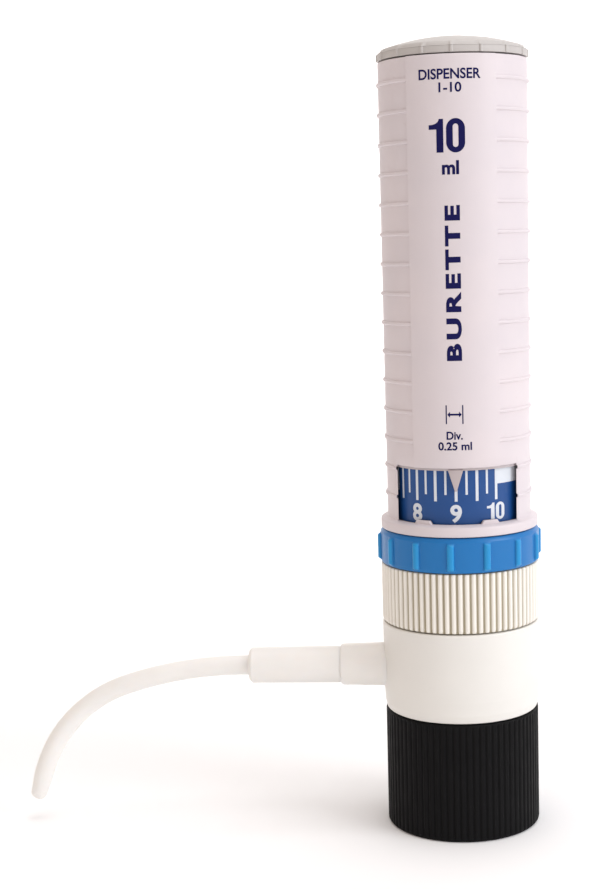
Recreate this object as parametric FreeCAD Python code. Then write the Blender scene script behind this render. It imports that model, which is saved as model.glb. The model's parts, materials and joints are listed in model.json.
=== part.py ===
import FreeCAD, Part
import math
import os

# A 10 ml bottle-top dispenser, standing upright on its bottle ring.
# Millimetres, +Z up. The origin is the centre of the open bottom face of the bottle ring, on the
# main axis. The front, with the scale window, faces -Y and the outlet points to -X.
# Front azimuths are in degrees from the front, positive towards +X.

# ---- main stations along the axis -------------------------------------------------------------
GAP = 0.3                    # free gap between faces of different moving bodies
BOTTLE_RING_TOP = 34.5
BODY_BOTTOM = BOTTLE_RING_TOP + GAP
BODY_TOP = 60.4
LOCK_RING_BOTTOM = BODY_TOP + GAP
LOCK_RING_TOP = 77.6
SELECTOR_BOTTOM = LOCK_RING_TOP + GAP
SELECTOR_TOP = 87.6
HOUSING_BOTTOM = SELECTOR_TOP + GAP
HOUSING_TOP = 215.7
CAP_BOTTOM = HOUSING_TOP + GAP
CAP_RIM_TOP = 218.4
CAP_TOP = 222.1

# ---- dosing system ----------------------------------------------------------------------------
BORE_R = 8.0                 # glass barrel bore
FULL_VOLUME_ML = 10.0
SMALLEST_VOLUME_ML = 1.0
SET_VOLUME_ML = 9.0          # the volume set at rest
CLICK_ML = 0.25              # one click of the selector
MM_PER_ML = 1000.0 / (math.pi * BORE_R ** 2)
DEG_PER_ML = 36.0            # turn of the selector for one millilitre: ten to a full turn
RUNNING_FIT = 0.08           # radial clearance of turning and sliding fits

# ---- radii of the nested tubes, from the axis outwards ----------------------------------------
ROD_R = 3.5
BARREL_R = 10.0
COLUMN_BORE_R = 10.6
COLUMN_R = 12.6
SLEEVE_BORE_R = COLUMN_R + GAP
SLEEVE_R = 14.6
LINER_BORE_R = 15.0
LUG_R = 16.7
DRUM_BORE_R = 17.1
DRUM_R = 18.5
COLLAR_R = 15.87
COLLAR_MATE_R = COLLAR_R + RUNNING_FIT
HOUSING_BORE_R = 18.9
HOUSING_R = 20.33            # recessed sides of the housing
PANEL_R = 20.83              # smooth front panel
FLANGE_R = 22.3

# ---- heights inside ---------------------------------------------------------------------------
COLUMN_TOP = 150.0
BARREL_BOTTOM = 61.9
BARREL_TOP = 136.0
GUIDE_TOP = 139.5
SHELF_TOP = 83.6             # selector shelf held down by the retaining clip
DRUM_TOP = 149.5
SLEEVE_BOTTOM = 91.0
LUG_BOTTOM = 93.0
LUG_TOP = 96.0
LUG_ANGLE = 90.0             # about Z: the lug is at the back
STEM_R = 0.8                 # of the stem that holds the lug in the sleeve
STOP_RIB_BOTTOM = 90.0
STOP_PLAY = 0.1
CARRIER_BOTTOM = 203.0
CARRIER_TOP = 208.0
PISTON_BOTTOM = 62.1
PISTON_TOP = 69.5
ROD_TOP = 214.0

# ---- bottle thread ----------------------------------------------------------------------------
THREAD_CREST_R = 15.2
THREAD_DEPTH = 1.0
THREAD_PITCH = 4.0
THREAD_TOP = 15.0
RELIEF_R = 16.4
WEB_BOTTOM = 22.3
WEB_TOP = 25.3
NECK_R = 13.05
NECK_BORE_R = 8.0
FLANGE_BOTTOM = 20.0
FLANGE_TOP = 22.0
NECK_FLANGE_R = 14.8
GASKET_BOTTOM = 18.8

# ---- grips ------------------------------------------------------------------------------------
FLUTES = 74
LOCK_RING_R = 22.5
BOTTLE_RING_R = 22.2
FLUTE_DEPTH = 0.45
SELECTOR_R = 22.7
SELECTOR_RIBS = 14
SELECTOR_RIB_R = 23.5
CAP_R = 20.55
CAP_RIBS = 16

# ---- housing face -----------------------------------------------------------------------------
PANEL_LEFT = -36.5
PANEL_RIGHT = 33.5
GRIP_RIBS = 15
GRIP_RIB_PITCH = 8.0
GRIP_RIB_FIRST_Z = 97.8
GRIP_RIB_HEIGHT = 0.9
GRIP_RIB_R = 20.78
WINDOW_LEFT_X = -17.1        # the window's side faces are parallel, along Y
WINDOW_RIGHT_X = 16.1
WINDOW_BOTTOM = 91.0
WINDOW_TOP = 106.8
WINDOW_LIP = 0.8             # height of the thin inner lip under the top edge
WINDOW_LIP_R = 19.4
POINTER_TIP_Z = 100.3
POINTER_WIDTH = 4.1
POINTER_TIP_WIDTH = 0.5
TAB_AZIMUTHS = (-30.0, 25.8)
TAB_WIDTH = 4.6
TAB_HEIGHT = 1.0

# ---- valves and outlet ------------------------------------------------------------------------
OUTLET_Z = 46.75
CHANNEL_R = 1.5
CHAMBER_R = 2.85
INLET_BALL_R = 2.4
INLET_SEAT_BOTTOM = 36.05
INLET_SEAT_TOP = 37.5
OUTLET_BALL_R = 2.2
OUTLET_SEAT_START = 8.7      # distances from the axis, along the outlet
OUTLET_SEAT_END = 10.2
SEAT_PLAY = 0.03
BALL_LIFT = 1.2
NIPPLE_R = 3.0
NIPPLE_BOTTOM = 16.0
STEM_BOTTOM = 26.0
BLOCK_BOTTOM = 36.85
SPIGOT_TOP = 40.45
CAGE_BOTTOM = 42.3
CAGE_TOP = 43.3
NOZZLE_END = 35.0
NOZZLE_SPIGOT_END = 42.0
SLEEVE_END = 62.0

# ---- discharge tube: straight run, then (bend radius, turn in degrees), then a straight tip ----
TUBE_R = 2.85
TUBE_BORE_R = 1.3
TUBE_START = 42.2
TUBE_BEND_START = 64.0
TUBE_BENDS = ((112.0, 18.0), (41.0, 49.0), (62.0, 6.0))
TIP_LENGTH = 6.0
TIP_R = 2.05

Z_AXIS = FreeCAD.Vector(0, 0, 1)
ORIGIN = FreeCAD.Vector(0, 0, 0)


# ---- helpers ----------------------------------------------------------------------------------
def turned(outline):
    """Solid of revolution about Z from a closed outline of (radius, z) corners."""
    corners = [FreeCAD.Vector(r, 0, z) for r, z in outline]
    face = Part.Face(Part.makePolygon(corners + corners[:1]))
    return face.revolve(ORIGIN, Z_AXIS, 360)


def rod(radius, low, high):
    return Part.makeCylinder(radius, high - low, FreeCAD.Vector(0, 0, low))


def ring(outer, inner, low, high):
    return rod(outer, low, high).cut(rod(inner, low - 1, high + 1))


def front_angle(azimuth):
    """Angle about Z of a front azimuth."""
    return azimuth - 90.0


def sector(inner, outer, low, high, start, end):
    """Piece of a ring between two angles about Z."""
    corners = [
        FreeCAD.Vector(inner, 0, low),
        FreeCAD.Vector(outer, 0, low),
        FreeCAD.Vector(outer, 0, high),
        FreeCAD.Vector(inner, 0, high),
    ]
    face = Part.Face(Part.makePolygon(corners + corners[:1]))
    face.rotate(ORIGIN, Z_AXIS, start)
    return face.revolve(ORIGIN, Z_AXIS, end - start)


def around(shape, angle):
    """Copy of a shape turned about Z."""
    copy = shape.copy()
    copy.rotate(ORIGIN, Z_AXIS, angle)
    return copy


def fluted_blank(crest, depth, count, low, high):
    """Prism with flat-topped flutes round it."""
    root = crest - depth
    step = 360.0 / count
    corners = []
    for tooth in range(count):
        for radius, part in ((crest, -0.26), (crest, 0.0), (root, 0.22), (root, 0.52)):
            angle = math.radians((tooth + part) * step)
            corners.append(FreeCAD.Vector(radius * math.cos(angle), radius * math.sin(angle), low))
    face = Part.Face(Part.makePolygon(corners + corners[:1]))
    return face.extrude(FreeCAD.Vector(0, 0, high - low))


def on_outlet(shape):
    """Turns a piece made along +Z so that it lies along the outlet, towards -X."""
    shape.rotate(ORIGIN, FreeCAD.Vector(0, 1, 0), -90)
    shape.translate(FreeCAD.Vector(0, 0, OUTLET_Z))
    return shape


def joined(shapes):
    return shapes[0].multiFuse(shapes[1:]).removeSplitter()


def ball_height(seat_face, ball_radius):
    """Centre of a ball that rests in a 45 degree seat whose mouth is as wide as the ball."""
    contact = ball_radius * math.sqrt(0.5)
    return seat_face + 2 * contact - ball_radius + SEAT_PLAY


def valve_seat(outer, low, high, ball_radius):
    """Ring with a 45 degree seat open at its high end."""
    throat = CHANNEL_R - 0.1
    cone_low = high - (ball_radius - throat)
    return turned([
        (throat, low), (outer, low), (outer, high), (ball_radius, high), (throat, cone_low),
    ])


# ---- bottle ring ------------------------------------------------------------------------------
def bottle_thread():
    """Helical groove between the thread's flat crests."""
    helix = Part.makeHelix(THREAD_PITCH, THREAD_TOP + 2 * THREAD_PITCH, THREAD_CREST_R)
    mouth = 1.2
    root = 0.5
    inner = THREAD_CREST_R - 0.4
    outer = THREAD_CREST_R + THREAD_DEPTH
    corners = [
        FreeCAD.Vector(inner, 0, -mouth),
        FreeCAD.Vector(outer, 0, -root),
        FreeCAD.Vector(outer, 0, root),
        FreeCAD.Vector(inner, 0, mouth),
    ]
    profile = Part.makePolygon(corners + corners[:1])
    groove = Part.Wire(helix.Edges).makePipeShell([profile], True, True)
    groove.translate(FreeCAD.Vector(0, 0, -THREAD_PITCH))
    return groove


def bottle_ring():
    edge = 0.9
    envelope = turned([
        (THREAD_CREST_R, 0), (BOTTLE_RING_R - edge, 0), (BOTTLE_RING_R, edge),
        (BOTTLE_RING_R - 0.15, BOTTLE_RING_TOP - 0.4), (BOTTLE_RING_R - 0.5, BOTTLE_RING_TOP),
        (19.8, BOTTLE_RING_TOP), (19.0, WEB_TOP), (NECK_R + RUNNING_FIT, WEB_TOP),
        (NECK_R + RUNNING_FIT, WEB_BOTTOM), (RELIEF_R, WEB_BOTTOM), (RELIEF_R, THREAD_TOP),
        (THREAD_CREST_R, THREAD_TOP),
    ])
    blank = fluted_blank(BOTTLE_RING_R, FLUTE_DEPTH, FLUTES, 0, BOTTLE_RING_TOP)
    return envelope.common(blank).cut(bottle_thread())


# ---- base: body, valve block and bearings -----------------------------------------------------
def base_body():
    floor_top = BLOCK_BOTTOM - 0.05
    deck = 2.5
    wall_r = 20.3
    shell = turned([
        (NECK_R, BODY_BOTTOM), (22.0, BODY_BOTTOM), (22.25, BODY_BOTTOM + 1.5),
        (22.34, BODY_BOTTOM + 3.7), (22.53, BODY_TOP - 0.4), (22.2, BODY_TOP),
        (COLUMN_R, BODY_TOP), (COLUMN_R, BODY_TOP - deck), (wall_r, BODY_TOP - deck),
        (wall_r, floor_top), (NECK_R, floor_top),
    ])
    return shell.cut(on_outlet(rod(6.3, 15, 25)))


def neck_flange():
    tube = ring(NECK_R, NECK_BORE_R, FLANGE_BOTTOM, BLOCK_BOTTOM - 0.05)
    flange = ring(NECK_FLANGE_R, NECK_BORE_R, FLANGE_BOTTOM, FLANGE_TOP)
    return joined([tube, flange])


def bottle_gasket():
    return ring(NECK_FLANGE_R, 9.0, GASKET_BOTTOM, FLANGE_BOTTOM)


def valve_block():
    block = rod(COLUMN_R - 0.05, BLOCK_BOTTOM, BODY_TOP)
    holes = [
        rod(5.5, BLOCK_BOTTOM - 1, SPIGOT_TOP + 0.05),
        rod(CHAMBER_R, BLOCK_BOTTOM, CAGE_TOP),
        rod(CHANNEL_R, BLOCK_BOTTOM, BODY_TOP + 1),
        on_outlet(rod(CHANNEL_R, 0, 20)),
        on_outlet(rod(4.55, 8.5, 20)),
    ]
    return block.cut(joined(holes))


def inlet_stem():
    stem = turned([
        (CHANNEL_R, NIPPLE_BOTTOM), (NIPPLE_R - 0.6, NIPPLE_BOTTOM), (NIPPLE_R, NIPPLE_BOTTOM + 0.9),
        (NIPPLE_R, STEM_BOTTOM), (NECK_BORE_R - 0.05, STEM_BOTTOM),
        (NECK_BORE_R - 0.05, BLOCK_BOTTOM - 0.05), (5.45, BLOCK_BOTTOM - 0.05), (5.45, SPIGOT_TOP),
        (CHAMBER_R, SPIGOT_TOP), (CHAMBER_R, INLET_SEAT_BOTTOM), (CHANNEL_R, INLET_SEAT_BOTTOM),
    ])
    return stem


def inlet_seat():
    return valve_seat(CHAMBER_R - 0.05, INLET_SEAT_BOTTOM, INLET_SEAT_TOP, INLET_BALL_R)


def inlet_ball():
    centre = ball_height(INLET_SEAT_TOP, INLET_BALL_R)
    return Part.makeSphere(INLET_BALL_R, FreeCAD.Vector(0, 0, centre))


def inlet_cage():
    """Stop ring above the inlet ball, notched so that liquid passes the lifted ball."""
    cage = ring(CHAMBER_R - 0.05, CHANNEL_R - 0.2, CAGE_BOTTOM, CAGE_TOP)
    notch = Part.makeCylinder(0.75, 3, FreeCAD.Vector(1.8, 0, CAGE_BOTTOM - 1))
    for angle in (0, 120, 240):
        cage = cage.cut(around(notch, angle))
    return cage


def barrel_gasket():
    return ring(BARREL_R + 0.4, BORE_R + 0.3, BODY_TOP, BARREL_BOTTOM)


def glass_barrel():
    return ring(BARREL_R, BORE_R, BARREL_BOTTOM, BARREL_TOP)


def barrel_guard():
    """Column round the glass barrel with two keyways that stop the housing from turning."""
    flange_top = BODY_TOP + 2.3
    column = ring(COLUMN_R, COLUMN_BORE_R, BODY_TOP, COLUMN_TOP)
    column = joined([column, ring(15.5, COLUMN_BORE_R, BODY_TOP, flange_top)])
    keyway = Part.makeBox(4, 3.0, 80, FreeCAD.Vector(11.2, -1.5, 85))
    return column.cut(keyway).cut(around(keyway, 180))


def rod_guide():
    return ring(COLUMN_BORE_R - 0.05, ROD_R + RUNNING_FIT, BARREL_TOP, GUIDE_TOP)


def bearing_collar():
    """Bearing for the lock ring and the selector, with a groove for the friction ring."""
    bottom = BODY_TOP + 2.35
    groove_low = 79.6
    groove_high = 81.2
    return turned([
        (COLUMN_R + 0.05, bottom), (COLLAR_R, bottom), (COLLAR_R, groove_low), (14.5, groove_low),
        (14.5, groove_high), (COLLAR_R, groove_high), (COLLAR_R, SHELF_TOP + 0.2),
        (COLUMN_R + 0.05, SHELF_TOP + 0.2),
    ])


def friction_ring():
    ring_radius = 0.65
    return Part.makeTorus(15.2, ring_radius, FreeCAD.Vector(0, 0, 80.4), Z_AXIS)


def retaining_clip():
    clip = ring(16.7, COLUMN_R + 0.05, SHELF_TOP + 0.25, SHELF_TOP + 1.35)
    opening = Part.makeBox(8, 5, 4, FreeCAD.Vector(10, -2.5, SHELF_TOP - 1))
    return clip.cut(opening)


# ---- outlet -----------------------------------------------------------------------------------
def outlet_nozzle():
    root = 8.6
    shoulder = 12.65
    spring_room_end = 20.0
    outside = turned([
        (0, root), (4.5, root), (4.5, shoulder), (6.2, shoulder), (6.05, NOZZLE_END - 0.6),
        (5.5, NOZZLE_END), (3.4, NOZZLE_END), (3.4, NOZZLE_SPIGOT_END), (0, NOZZLE_SPIGOT_END),
    ])
    bores = joined([rod(2.6, 0, spring_room_end), rod(TUBE_BORE_R, 0, 50)])
    return on_outlet(outside.cut(bores))


def outlet_seat():
    return on_outlet(valve_seat(2.55, OUTLET_SEAT_START, OUTLET_SEAT_END, OUTLET_BALL_R))


def outlet_ball():
    centre = ball_height(OUTLET_SEAT_END, OUTLET_BALL_R)
    return on_outlet(Part.makeSphere(OUTLET_BALL_R, FreeCAD.Vector(0, 0, centre)))


def outlet_spring():
    wire_r = 0.22
    coil_r = 1.75
    low = 13.3
    high = 19.75
    helix = Part.makeHelix((high - low) / 5.0, high - low, coil_r)
    section = Part.Wire(Part.makeCircle(wire_r, FreeCAD.Vector(coil_r, 0, 0), FreeCAD.Vector(0, 1, 0)))
    coil = Part.Wire(helix.Edges).makePipeShell([section], True, True)
    coil.translate(FreeCAD.Vector(0, 0, low))
    return on_outlet(coil)


def jet_sleeve():
    start = NOZZLE_END + 0.05
    step = NOZZLE_SPIGOT_END + 0.1
    return on_outlet(turned([
        (3.45, start), (5.25, start), (5.4, start + 0.4), (5.25, SLEEVE_END - 0.8),
        (4.3, SLEEVE_END), (TUBE_R, SLEEVE_END), (TUBE_R, step), (3.45, step),
    ]))


def heading(degrees):
    """Direction in the XZ plane, turned down from -X."""
    turn = math.radians(degrees)
    return FreeCAD.Vector(-math.cos(turn), 0, -math.sin(turn))


def tube_route(radius, tip_radius):
    """Solid along the discharge tube's route: a straight run, the bends and a tapered tip."""
    def section(point, direction):
        return Part.Face(Part.Wire(Part.makeCircle(radius, point, direction)))

    start = FreeCAD.Vector(-TUBE_START, 0, OUTLET_Z)
    point = FreeCAD.Vector(-TUBE_BEND_START, 0, OUTLET_Z)
    runs = [section(start, heading(0)).extrude(point - start)]
    angle = 0.0
    for bend_radius, turn in TUBE_BENDS:
        centre = point + heading(angle + 90) * bend_radius
        bend = section(point, heading(angle)).revolve(centre, FreeCAD.Vector(0, -1, 0), turn)
        runs.append(bend)
        angle += turn
        point = centre - heading(angle + 90) * bend_radius
    if tip_radius < radius:
        runs.append(Part.makeCone(radius, tip_radius, TIP_LENGTH, point, heading(angle)))
    else:
        runs.append(Part.makeCylinder(radius, TIP_LENGTH, point, heading(angle)))
    return joined(runs)


def jet_tube():
    return tube_route(TUBE_R, TIP_R).cut(tube_route(TUBE_BORE_R, TUBE_BORE_R))


# ---- lock ring --------------------------------------------------------------------------------
def lock_ring():
    edge = 0.5
    envelope = turned([
        (COLLAR_MATE_R, LOCK_RING_BOTTOM), (17.8, LOCK_RING_BOTTOM), (17.8, LOCK_RING_TOP - 3),
        (19.8, LOCK_RING_TOP - 3), (19.8, LOCK_RING_BOTTOM), (LOCK_RING_R - edge, LOCK_RING_BOTTOM),
        (LOCK_RING_R, LOCK_RING_BOTTOM + edge), (LOCK_RING_R, LOCK_RING_TOP - edge),
        (LOCK_RING_R - edge, LOCK_RING_TOP), (COLLAR_MATE_R, LOCK_RING_TOP),
    ])
    blank = fluted_blank(LOCK_RING_R, FLUTE_DEPTH, FLUTES, LOCK_RING_BOTTOM, LOCK_RING_TOP)
    return envelope.common(blank)


# ---- volume selector --------------------------------------------------------------------------
def selector_ring():
    edge = 0.8
    body = turned([
        (COLLAR_MATE_R, SELECTOR_BOTTOM), (SELECTOR_R, SELECTOR_BOTTOM),
        (SELECTOR_R, SELECTOR_TOP - edge), (SELECTOR_R - edge, SELECTOR_TOP),
        (DRUM_R, SELECTOR_TOP), (DRUM_R, SHELF_TOP), (COLLAR_MATE_R, SHELF_TOP),
    ])
    half = 2.6
    bottom = SELECTOR_BOTTOM + 0.5
    rib = sector(SELECTOR_R - 0.5, SELECTOR_RIB_R, bottom, SELECTOR_TOP - edge, -half, half)
    slope = turned([
        (SELECTOR_R - 1, bottom), (SELECTOR_R, bottom), (SELECTOR_RIB_R, bottom + 0.6),
        (SELECTOR_RIB_R, SELECTOR_TOP - edge - 0.8), (SELECTOR_R, SELECTOR_TOP - edge),
        (SELECTOR_R - 1, SELECTOR_TOP - edge),
    ])
    rib = rib.common(slope)
    first = front_angle(-4.5)
    step = 360.0 / SELECTOR_RIBS
    return joined([body] + [around(rib, first + step * index) for index in range(SELECTOR_RIBS)])


def scale_drum():
    return ring(DRUM_R, DRUM_BORE_R, SHELF_TOP, DRUM_TOP)


def stop_liner():
    """Stepped stop under which the lug rises: one step for each click of volume."""
    clicks = int(round((FULL_VOLUME_ML - SMALLEST_VOLUME_ML) / CLICK_ML))
    step = CLICK_ML * DEG_PER_ML
    pieces = []
    for click in range(clicks + 1):
        volume = SMALLEST_VOLUME_ML + click * CLICK_ML
        bottom = LUG_TOP + volume * MM_PER_ML + STOP_PLAY
        middle = LUG_ANGLE + (volume - SET_VOLUME_ML) * DEG_PER_ML
        pieces.append(sector(LINER_BORE_R, DRUM_BORE_R, bottom, DRUM_TOP,
                             middle - step / 2, middle + step / 2))
    start = LUG_ANGLE + (FULL_VOLUME_ML - SET_VOLUME_ML) * DEG_PER_ML + step / 2
    end = start + 360.0 - (clicks + 1) * step
    pieces.append(sector(LINER_BORE_R, DRUM_BORE_R, STOP_RIB_BOTTOM, DRUM_TOP, start, end))
    return joined(pieces)


# ---- plunger: housing, cap and piston ---------------------------------------------------------
def pointer():
    half = POINTER_WIDTH / 2
    tip = POINTER_TIP_WIDTH / 2
    top = WINDOW_TOP + 0.5
    corners = [
        FreeCAD.Vector(-half, -PANEL_R, top), FreeCAD.Vector(-half, -PANEL_R, WINDOW_TOP),
        FreeCAD.Vector(-tip, -PANEL_R, POINTER_TIP_Z), FreeCAD.Vector(tip, -PANEL_R, POINTER_TIP_Z),
        FreeCAD.Vector(half, -PANEL_R, WINDOW_TOP), FreeCAD.Vector(half, -PANEL_R, top),
    ]
    wedge = Part.Face(Part.makePolygon(corners + corners[:1])).extrude(FreeCAD.Vector(0, 6, 0))
    wedge = wedge.common(ring(HOUSING_R, HOUSING_BORE_R + 0.2, POINTER_TIP_Z - 1, top + 1))
    return around(wedge, -1.5)


def housing():
    ledge_r = 17.2
    ledge_low = 199.0
    flange_top = 90.6
    shell = turned([
        (HOUSING_BORE_R, HOUSING_BOTTOM), (FLANGE_R - 0.3, HOUSING_BOTTOM),
        (FLANGE_R, HOUSING_BOTTOM + 0.3), (FLANGE_R, flange_top), (20.6, WINDOW_BOTTOM),
        (HOUSING_R, WINDOW_BOTTOM), (HOUSING_R, HOUSING_TOP), (HOUSING_BORE_R, HOUSING_TOP),
        (HOUSING_BORE_R, CARRIER_BOTTOM), (ledge_r, CARRIER_BOTTOM), (ledge_r, ledge_low + 1.7),
        (HOUSING_BORE_R, ledge_low),
    ])
    left = front_angle(PANEL_LEFT)
    right = front_angle(PANEL_RIGHT)
    panel = sector(HOUSING_R - 0.5, PANEL_R, flange_top, HOUSING_TOP, left, right)
    ribs = []
    for index in range(GRIP_RIBS):
        low = GRIP_RIB_FIRST_Z + index * GRIP_RIB_PITCH - GRIP_RIB_HEIGHT / 2
        high = low + GRIP_RIB_HEIGHT
        ribs.append(sector(HOUSING_R - 0.5, GRIP_RIB_R, low, high, right - 1, left + 361))
    corner = FreeCAD.Vector(WINDOW_LEFT_X, -25, WINDOW_BOTTOM)
    width = WINDOW_RIGHT_X - WINDOW_LEFT_X
    recess = Part.makeBox(width, 20, WINDOW_TOP - WINDOW_BOTTOM, corner)
    recess = recess.cut(rod(WINDOW_LIP_R, WINDOW_TOP - WINDOW_LIP, WINDOW_TOP + 1))
    tabs = []
    for azimuth in TAB_AZIMUTHS:
        half = math.degrees(TAB_WIDTH / 2 / HOUSING_R)
        middle = front_angle(azimuth)
        tabs.append(sector(HOUSING_BORE_R, HOUSING_R, WINDOW_BOTTOM - 0.5,
                           WINDOW_BOTTOM + TAB_HEIGHT, middle - half, middle + half))
    body = joined([shell, panel] + ribs).cut(recess)
    return joined([body, pointer()] + tabs)


def top_cap():
    edge = 0.5
    dome_edge_r = 20.0
    dome_low = CAP_RIM_TOP + 0.5
    rise = CAP_TOP - dome_low
    dome_r = (dome_edge_r ** 2 + rise ** 2) / (2 * rise)
    dome_centre = CAP_TOP - dome_r
    dome = Part.makeSphere(dome_r, FreeCAD.Vector(0, 0, dome_centre))
    dome = dome.common(rod(dome_edge_r, dome_low - 0.01, CAP_TOP + 1))
    rim = turned([
        (0, CAP_BOTTOM), (CAP_R - 0.3, CAP_BOTTOM), (CAP_R, CAP_BOTTOM + 0.3),
        (CAP_R, CAP_RIM_TOP - edge), (CAP_R - edge, CAP_RIM_TOP), (dome_edge_r, dome_low),
        (0, dome_low),
    ])
    spigot = ring(HOUSING_BORE_R - 0.05, 17.2, CARRIER_TOP + 2, CAP_BOTTOM + 0.5)
    rib = sector(CAP_R - 0.4, CAP_R + 0.2, CAP_BOTTOM + 0.3, CAP_RIM_TOP - edge, -1.1, 1.1)
    first = front_angle(-0.5)
    ribs = [around(rib, first + index * 360.0 / CAP_RIBS) for index in range(CAP_RIBS)]
    hollow = rod(17.2, CAP_BOTTOM - 1, CAP_RIM_TOP)
    return joined([rim, dome, spigot] + ribs).cut(hollow)


def carrier():
    disc = ring(HOUSING_BORE_R - 0.05, ROD_R + 0.02, CARRIER_BOTTOM, CARRIER_TOP)
    hub = ring(7.5, ROD_R + 0.02, CARRIER_BOTTOM - 4, CARRIER_BOTTOM)
    return joined([disc, hub])


def stroke_sleeve():
    """Tube that carries the stop lug, with two keys that run in the column's keyways."""
    tube = ring(SLEEVE_R, SLEEVE_BORE_R, SLEEVE_BOTTOM, CARRIER_BOTTOM)
    key = Part.makeBox(2.2, 2.4, 18, FreeCAD.Vector(11.5, -1.2, SLEEVE_BOTTOM))
    lug_z = (LUG_BOTTOM + LUG_TOP) / 2
    hole = Part.makeCylinder(STEM_R + 0.05, 8, FreeCAD.Vector(0, 10, lug_z), FreeCAD.Vector(0, 1, 0))
    return joined([tube, key, around(key, 180)]).cut(hole)


def stop_lug():
    lug_z = (LUG_BOTTOM + LUG_TOP) / 2
    block = sector(SLEEVE_R + 0.02, LUG_R, LUG_BOTTOM, LUG_TOP, LUG_ANGLE - 3.4, LUG_ANGLE + 3.4)
    stem = Part.makeCylinder(STEM_R, 1.7, FreeCAD.Vector(0, 13.1, lug_z), FreeCAD.Vector(0, 1, 0))
    return joined([block, stem])


def piston_rod():
    return rod(ROD_R, PISTON_TOP, ROD_TOP - 0.6).fuse(
        Part.makeCone(ROD_R, ROD_R - 0.6, 0.6, FreeCAD.Vector(0, 0, ROD_TOP - 0.6)))


def piston_head():
    groove_low = PISTON_BOTTOM + 1.2
    groove_high = groove_low + 3.0
    head_r = BORE_R - 0.4
    return turned([
        (0, PISTON_BOTTOM), (head_r - 0.5, PISTON_BOTTOM), (head_r, PISTON_BOTTOM + 0.5),
        (head_r, groove_low), (6.4, groove_low), (6.4, groove_high), (head_r, groove_high),
        (head_r, PISTON_TOP), (0, PISTON_TOP),
    ])


def piston_seal():
    """Ring with two lips that wipe the barrel."""
    low = PISTON_BOTTOM + 1.25
    lip_r = BORE_R - 0.04
    return turned([
        (6.45, low), (lip_r, low), (lip_r - 0.3, low + 0.9), (lip_r - 0.3, low + 2.0),
        (lip_r, low + 2.9), (6.45, low + 2.9),
    ])


def lock_washer():
    return ring(7.0, ROD_R + 0.05, CARRIER_TOP, CARRIER_TOP + 0.6)


def adjuster_nut():
    """Slotted round nut that sets the piston's height, for calibration."""
    low = CARRIER_TOP + 0.6
    high = low + 4.0
    nut = ring(6.5, ROD_R + 0.02, low, high)
    slot = Part.makeBox(20, 1.6, 1.5, FreeCAD.Vector(-10, -0.8, high - 1.2))
    return nut.cut(slot)


PARTS = {
    "base_body": base_body,
    "neck_flange": neck_flange,
    "bottle_gasket": bottle_gasket,
    "valve_block": valve_block,
    "inlet_stem": inlet_stem,
    "inlet_seat": inlet_seat,
    "inlet_ball": inlet_ball,
    "inlet_cage": inlet_cage,
    "barrel_gasket": barrel_gasket,
    "glass_barrel": glass_barrel,
    "barrel_guard": barrel_guard,
    "rod_guide": rod_guide,
    "bearing_collar": bearing_collar,
    "friction_ring": friction_ring,
    "retaining_clip": retaining_clip,
    "outlet_nozzle": outlet_nozzle,
    "outlet_seat": outlet_seat,
    "outlet_ball": outlet_ball,
    "outlet_spring": outlet_spring,
    "jet_sleeve": jet_sleeve,
    "jet_tube": jet_tube,
    "bottle_ring": bottle_ring,
    "lock_ring": lock_ring,
    "selector_ring": selector_ring,
    "scale_drum": scale_drum,
    "stop_liner": stop_liner,
    "housing": housing,
    "top_cap": top_cap,
    "carrier": carrier,
    "stroke_sleeve": stroke_sleeve,
    "stop_lug": stop_lug,
    "piston_rod": piston_rod,
    "piston_head": piston_head,
    "piston_seal": piston_seal,
    "lock_washer": lock_washer,
    "adjuster_nut": adjuster_nut,
}

os.makedirs("parts", exist_ok=True)
for node, make in PARTS.items():
    shape = make()
    print(node, len(shape.Solids), "solid", round(shape.Volume, 1), "mm3", shape.isValid())
    shape.exportStep("parts/" + node + ".step")
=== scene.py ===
import json
import math

import bmesh
import bpy
from mathutils import Matrix, Vector


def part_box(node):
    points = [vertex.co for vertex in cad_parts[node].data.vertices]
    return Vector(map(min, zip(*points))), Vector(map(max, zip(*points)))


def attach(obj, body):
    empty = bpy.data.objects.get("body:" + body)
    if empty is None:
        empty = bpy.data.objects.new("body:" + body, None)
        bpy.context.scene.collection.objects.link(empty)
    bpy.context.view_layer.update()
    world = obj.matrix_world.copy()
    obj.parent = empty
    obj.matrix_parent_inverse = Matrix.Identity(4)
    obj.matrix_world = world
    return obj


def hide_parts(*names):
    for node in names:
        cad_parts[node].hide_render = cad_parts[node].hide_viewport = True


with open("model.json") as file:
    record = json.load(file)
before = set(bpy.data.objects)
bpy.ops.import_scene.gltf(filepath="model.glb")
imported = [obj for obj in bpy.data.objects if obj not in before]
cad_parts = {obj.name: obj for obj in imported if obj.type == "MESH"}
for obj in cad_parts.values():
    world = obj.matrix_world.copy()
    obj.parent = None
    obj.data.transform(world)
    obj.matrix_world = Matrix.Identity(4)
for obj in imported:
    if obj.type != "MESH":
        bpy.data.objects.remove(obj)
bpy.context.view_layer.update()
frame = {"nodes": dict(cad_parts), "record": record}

MM = 0.001

# ---- places, from the frame -------------------------------------------------------------------
def low_z(node):
    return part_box(node)[0].z / MM


def high_z(node):
    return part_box(node)[1].z / MM


def radius_of(node):
    """Largest distance from the main axis along Y, in millimetres."""
    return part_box(node)[1].y / MM


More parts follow.
